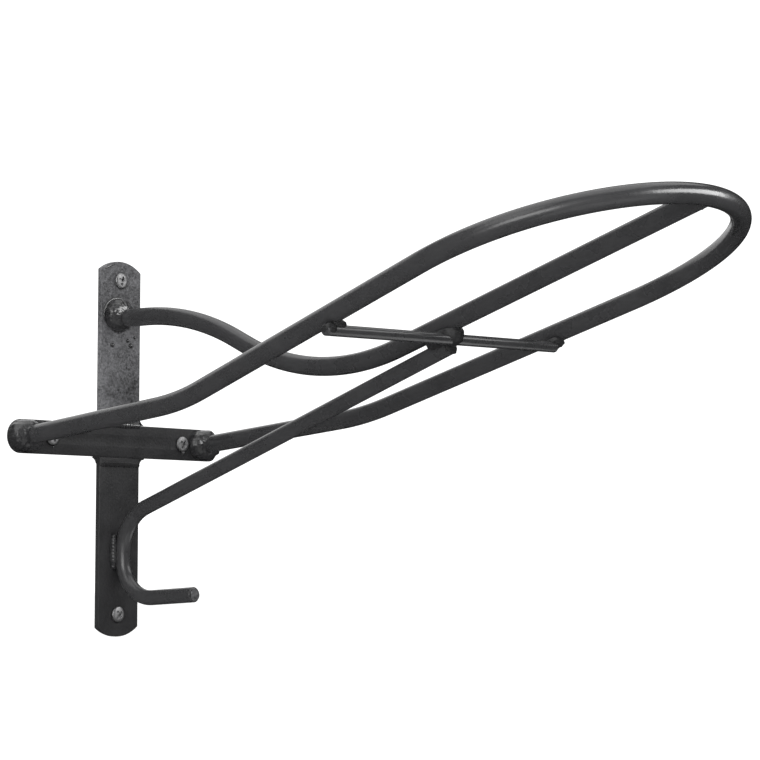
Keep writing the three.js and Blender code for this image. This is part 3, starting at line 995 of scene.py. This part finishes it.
class RACK_OT_weld_runs(bpy.types.Operator):
    """The beads on the seams and beside the strut, the middle root's toe and the crown's burr"""

    bl_idname = "rack.weld_runs"
    bl_label = "Weld runs"

    def execute(self, context):
        sizes = context.scene.rack_welds
        runs = {
            "weld_upper_seam": [self.seam("weld_upper_seam")],
            "weld_lower_seam": [self.seam("weld_lower_seam"), self.flush_seam()],
            "weld_hook_left": [self.beside_strut("weld_hook_left")],
            "weld_hook_right": [self.beside_strut("weld_hook_right")],
        }
        for number, (node, laid) in enumerate(runs.items()):
            seam = node.endswith("seam")
            piece = run_tree("painted_" + node, lines_mesh(node, laid),
                             tree_named("Weld run", weld_run_tree), {
                                 "Pitch": sizes.pitch * (SEAM_PITCH_SHARE if seam else 1),
                                 "Seed": sizes.seed + number,
                                 "Material": finish("bar" if node == "weld_lower_seam" else "weld"),
                             })
            hand_over(piece, [node])
        # the small corner welds are shown as their CAD pieces, the lower ones in the bar's finish
        # and the upper ones in the weld's
        for node in ("upper_left", "upper_right", "lower_left", "lower_right"):
            cad_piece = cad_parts["weld_corner_" + node]
            for slot in cad_piece.material_slots:
                slot.material = finish("bar" if node.startswith("lower") else "weld")
        for name, edge in (("weld_toe", self.toe()), ("crown_burr", self.crown_burr())):
            piece = run_tree(name, lines_mesh(name, [edge]),
                             tree_named("Round bar", round_bar_tree), {
                                 "Diameter": sizes.toe, "Facets": EDGE_FACETS,
                                 "Material": finish("weld"),
                             })
            hand_over(piece, [])
        return {"FINISHED"}

    @staticmethod
    def crown_burr():
        """The burr left on the shorn crown of the upper plate, under the paint."""
        low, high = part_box("upper_plate")
        radius = crown_radius((high.x - low.x) / 2, bpy.context.scene.rack_bars.crown)
        steps = 20
        run = []
        for i in range(steps + 1):
            t = i / steps
            angle = math.radians(BURR_START - BURR_SWEEP * t)
            inset = radius - BURR_INSET
            run.append((Vector((
                (low.x + high.x) / 2 + inset * math.cos(angle), low.y + BURR_SUNK,
                high.z - radius + inset * math.sin(angle),
            )), tapered(t, BURR_END_SIZE, BURR_MIDDLE_SIZE)))
        return run

    @staticmethod
    def toe():
        """The raised edge of the middle root's weld, from the left over the top to the right."""
        low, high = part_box("weld_middle_root")
        centre = (low + high) / 2
        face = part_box("upper_plate")[0].y
        steps = 40
        run = []
        for i in range(steps + 1):
            t = i / steps
            angle = math.radians(TOE_START - TOE_SWEEP * t)
            run.append((Vector((
                centre.x + (high.x - centre.x) * math.cos(angle), face,
                centre.z + (high.z - centre.z) * math.sin(angle),
            )), tapered(t, TOE_END_SIZE, 1.0)))
        return run

    @staticmethod
    def seam(node):
        """A low bead whose ripples stand as high as the CAD bead and sink into the bars."""
        low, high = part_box(node)
        half_height = (high.z - low.z) / 2
        middle = (low.z + high.z) / 2
        depth = low.y + half_height
        swell = UPPER_SEAM_SWELL if node == "weld_upper_seam" else 1
        steps = 12
        run = []
        for i in range(steps + 1):
            x = (low.x + half_height) + (high.x - low.x - 2 * half_height) * i / steps
            run.append((Vector((x, depth, middle)), half_height * swell))
        return run

    @staticmethod
    def flush_seam():
        """Weld metal ground flush in the joint under the crossbar."""
        low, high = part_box("lower_plate")
        joint = (high.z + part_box("crossbar")[0].z) / 2
        start = low.x - FLUSH_SEAM_OVERHANG
        end = high.x + FLUSH_SEAM_OVERHANG
        steps = 12
        run = []
        for i in range(steps + 1):
            radius = FLUSH_SEAM_RADIUS if 0 < i < steps else FLUSH_SEAM_END_RADIUS
            x = start + (end - start) * i / steps
            run.append((Vector((x, low.y + radius, joint)), radius))
        return run

    @staticmethod
    def beside_strut(node):
        """A bead between the strut and the plate, tapering at both ends."""
        low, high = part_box(node)
        radius = (high.x - low.x) / 2
        centre = box_centre(node)
        steps = 10
        run = []
        for i in range(steps + 1):
            t = i / steps
            size = radius * (0.55 + 0.35 * math.sin(math.pi * t))
            z = low.z + radius * 0.6 + (high.z - low.z - 1.2 * radius) * t
            run.append((Vector((centre.x, high.y - size * 0.25, z)), size))
        return run


SPATTER_DENSITY = 1.5e4          # beads to a square metre


class RACK_OT_spatter(bpy.types.Operator):
    """Small beads of weld spatter under the paint"""

    bl_idname = "rack.spatter"
    bl_label = "Spatter"

    def execute(self, context):
        sizes = context.scene.rack_welds
        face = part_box("upper_plate")[0].y
        root = box_centre("weld_middle_root")
        patches = [
            (root.x + mm(4), root.z - mm(24), mm(15), mm(12)),
            (root.x - mm(12), root.z - mm(22), mm(14), mm(8)),
        ]
        for side in ("weld_left_root", "weld_right_root"):
            joint = box_centre(side)
            inward = -math.copysign(1, joint.x)
            patches.append((joint.x + inward * mm(20) - mm(6), joint.z - mm(9), mm(12), mm(18)))
        points, faces = [], []
        for x, z, width, height in patches:
            first = len(points)
            corners = [(x, z), (x + width, z), (x + width, z + height), (x, z + height)]
            points += [(Vector((px, face, pz)), 1.0) for px, pz in corners]
            faces.append((first, first + 1, first + 2, first + 3))
        piece = run_tree("weld_spatter", lines_mesh("spatter", [points], faces),
                         tree_named("Weld spatter", spatter_tree), {
                             "Density": SPATTER_DENSITY, "Size": sizes.spatter, "Seed": sizes.seed,
                             "Material": finish("weld"),
                         })
        hand_over(piece, [])
        return {"FINISHED"}


# how far each screw's cross is turned about its axis, in radians
SCREW_TURNS = {"screw_top": 0.3, "screw_left": 1.1, "screw_right": 0.6, "screw_bottom": 0.9}
RECESS_FLOOR, RECESS_MOUTH = 0.6, 1.1    # length at the recess's floor and above its mouth


class RACK_OT_screws(bpy.types.Operator):
    """The four zinc-plated cross-head screws"""

    bl_idname = "rack.screws"
    bl_label = "Screws"

    def execute(self, context):
        sizes = context.scene.rack_screws
        template = self.screw(sizes)
        points = []
        for node, turn in SCREW_TURNS.items():
            centre = box_centre(node)
            points.append((Vector((centre.x, 0, centre.z)), turn))
        piece = run_tree("zinc_screws", self.points_mesh(points),
                         tree_named("Screw set", screw_set_tree), {
                             "Screw": template, "Material": finish("zinc"),
                         })
        bpy.data.objects.remove(template)
        hand_over(piece, list(SCREW_TURNS))
        return {"FINISHED"}

    @staticmethod
    def points_mesh(points):
        mesh = bpy.data.meshes.new("screw_places")
        mesh.from_pydata([point for point, _ in points], [], [])
        turns = mesh.attributes.new("size", "FLOAT", "POINT")
        turns.data.foreach_set("value", [turn for _, turn in points])
        return mesh

    @staticmethod
    def screw(sizes):
        """One domed screw pointing out from the wall, with its cross recess cut out."""
        low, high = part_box("screw_top")
        base = low.y + sizes.head_height
        back = high.y
        head = sizes.head / 2
        shank = sizes.shank / 2
        profile = [
            (0, back), (shank, back), (shank, base), (head * 0.96, base), (head, base - mm(0.2)),
        ]
        steps = 14
        dome = sizes.head_height - sizes.rim
        for i in range(steps):
            angle = math.pi / 2 * i / steps
            profile.append((
                head * math.cos(angle) ** PAN_SQUARENESS,
                base - sizes.rim - dome * math.sin(angle) ** PAN_SQUARENESS,
            ))
        profile.append((0, base - sizes.head_height))
        spokes = 48
        points, faces = [], []
        for radius, depth in profile[1:-1]:
            for j in range(spokes):
                angle = 2 * math.pi * j / spokes
                points.append((radius * math.cos(angle), depth, radius * math.sin(angle)))
        rows = len(profile) - 2
        first_pole, last_pole = len(points), len(points) + 1
        points += [(0, profile[0][1], 0), (0, profile[-1][1], 0)]
        for j in range(spokes):
            k = (j + 1) % spokes
            faces.append((first_pole, j, k))
            faces.append((last_pole, (rows - 1) * spokes + k, (rows - 1) * spokes + j))
            for i in range(rows - 1):
                near, far = i * spokes, (i + 1) * spokes
                faces.append((near + j, far + j, far + k, near + k))
        mesh = bpy.data.meshes.new("screw")
        mesh.from_pydata(points, [], faces)
        settle(mesh)
        made = link("screw_template", mesh)
        slots = bmesh.new()
        for turn in (0, math.pi / 2):
            corners = bmesh.ops.create_cube(slots, size=1.0)["verts"]
            top = base - sizes.head_height
            for vert in corners:
                deep = vert.co.y > 0
                taper = RECESS_FLOOR if deep else RECESS_MOUTH
                vert.co = Vector((
                    vert.co.x * sizes.recess_length * taper,
                    top + (sizes.recess_depth if deep else -sizes.recess_depth * 0.5),
                    vert.co.z * sizes.recess_width,
                ))
            bmesh.ops.rotate(
                slots, verts=corners, cent=(0, 0, 0), matrix=Matrix.Rotation(turn, 3, "Y"))
        bmesh.ops.recalc_face_normals(slots, faces=slots.faces)
        cutter_mesh = bpy.data.meshes.new("recess")
        slots.to_mesh(cutter_mesh)
        slots.free()
        cutter = link("recess", cutter_mesh)
        cut = made.modifiers.new("Recess", "BOOLEAN")
        cut.operation = "DIFFERENCE"
        cut.solver = "EXACT"
        cut.use_self = True
        cut.object = cutter
        bpy.context.view_layer.update()
        evaluated = made.evaluated_get(bpy.context.evaluated_depsgraph_get())
        finished = bpy.data.meshes.new_from_object(evaluated)
        bpy.data.objects.remove(made)
        bpy.data.objects.remove(cutter)
        return link("screw_template", finished)


class RACK_PT_panel(bpy.types.Panel):
    bl_idname = "RACK_PT_panel"
    bl_label = "Saddle rack"
    bl_space_type = "VIEW_3D"
    bl_region_type = "UI"
    bl_category = "Saddle rack"

    def draw(self, context):
        for operator in OPERATORS:
            self.layout.operator(operator.bl_idname)
        for name in SETTINGS:
            settings = getattr(context.scene, name)
            for key in settings.bl_rna.properties.keys():
                if key not in {"rna_type", "name"}:
                    self.layout.prop(settings, key)


OPERATORS = [
    RACK_OT_stage,
    RACK_OT_flat_bars,
    RACK_OT_rods,
    RACK_OT_root_welds,
    RACK_OT_joint_welds,
    RACK_OT_weld_runs,
    RACK_OT_spatter,
    RACK_OT_screws,
]
SETTINGS = {
    "rack_rods": RackRodSizes,
    "rack_bars": RackBarSizes,
    "rack_welds": RackWeldSizes,
    "rack_screws": RackScrewSizes,
    "rack_colours": RackColours,
}


def register():
    for kind in [*SETTINGS.values(), *OPERATORS, RACK_PT_panel]:
        bpy.utils.register_class(kind)
    for name, kind in SETTINGS.items():
        setattr(bpy.types.Scene, name, bpy.props.PointerProperty(type=kind))


def unregister():
    for name in SETTINGS:
        delattr(bpy.types.Scene, name)
    for kind in [RACK_PT_panel, *reversed(OPERATORS), *SETTINGS.values()]:
        bpy.utils.unregister_class(kind)


def main():
    register()
    bpy.ops.rack.stage()
    bpy.ops.rack.flat_bars()
    bpy.ops.rack.rods()
    bpy.ops.rack.root_welds()
    bpy.ops.rack.joint_welds()
    bpy.ops.rack.weld_runs()
    bpy.ops.rack.spatter()
    bpy.ops.rack.screws()


if __name__ == "__main__":
    main()
